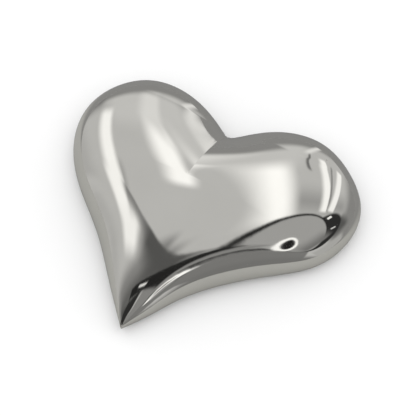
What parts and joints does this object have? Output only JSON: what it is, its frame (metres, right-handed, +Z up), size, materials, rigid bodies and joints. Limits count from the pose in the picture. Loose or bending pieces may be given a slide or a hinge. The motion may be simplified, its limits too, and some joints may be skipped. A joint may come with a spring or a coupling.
{
  "type": "heart paperweight",
  "caption": "Domed heart of mirror-polished metal that lies flat on a felt pad as a paperweight or desk ornament.",
  "frame": {"origin": "on the surface that it lies on, under the middle of the heart's width and length", "axes": "+X across the two lobes, +Y from the point to the notch between the lobes, +Z up, the way the dome faces"},
  "size_m": [0.0975, 0.088, 0.0188],
  "materials": {
    "polished_metal": "mirror-polished nickel plate",
    "cast_iron": "as cast",
    "foam": "soft closed-cell foam",
    "plated_steel": "zinc-plated",
    "screw_steel": "zinc-plated",
    "adhesive": "clear film adhesive",
    "felt": "pressed wool felt"
  },
  "bodies": {
    "root": {"heart_shell": "polished_metal", "iron_weight": "cast_iron", "foam_damper": "foam", "base_plate": "plated_steel", "base_screws": "screw_steel", "adhesive_sheet": "adhesive", "felt_pad": "felt"}
  },
  "joints": []
}
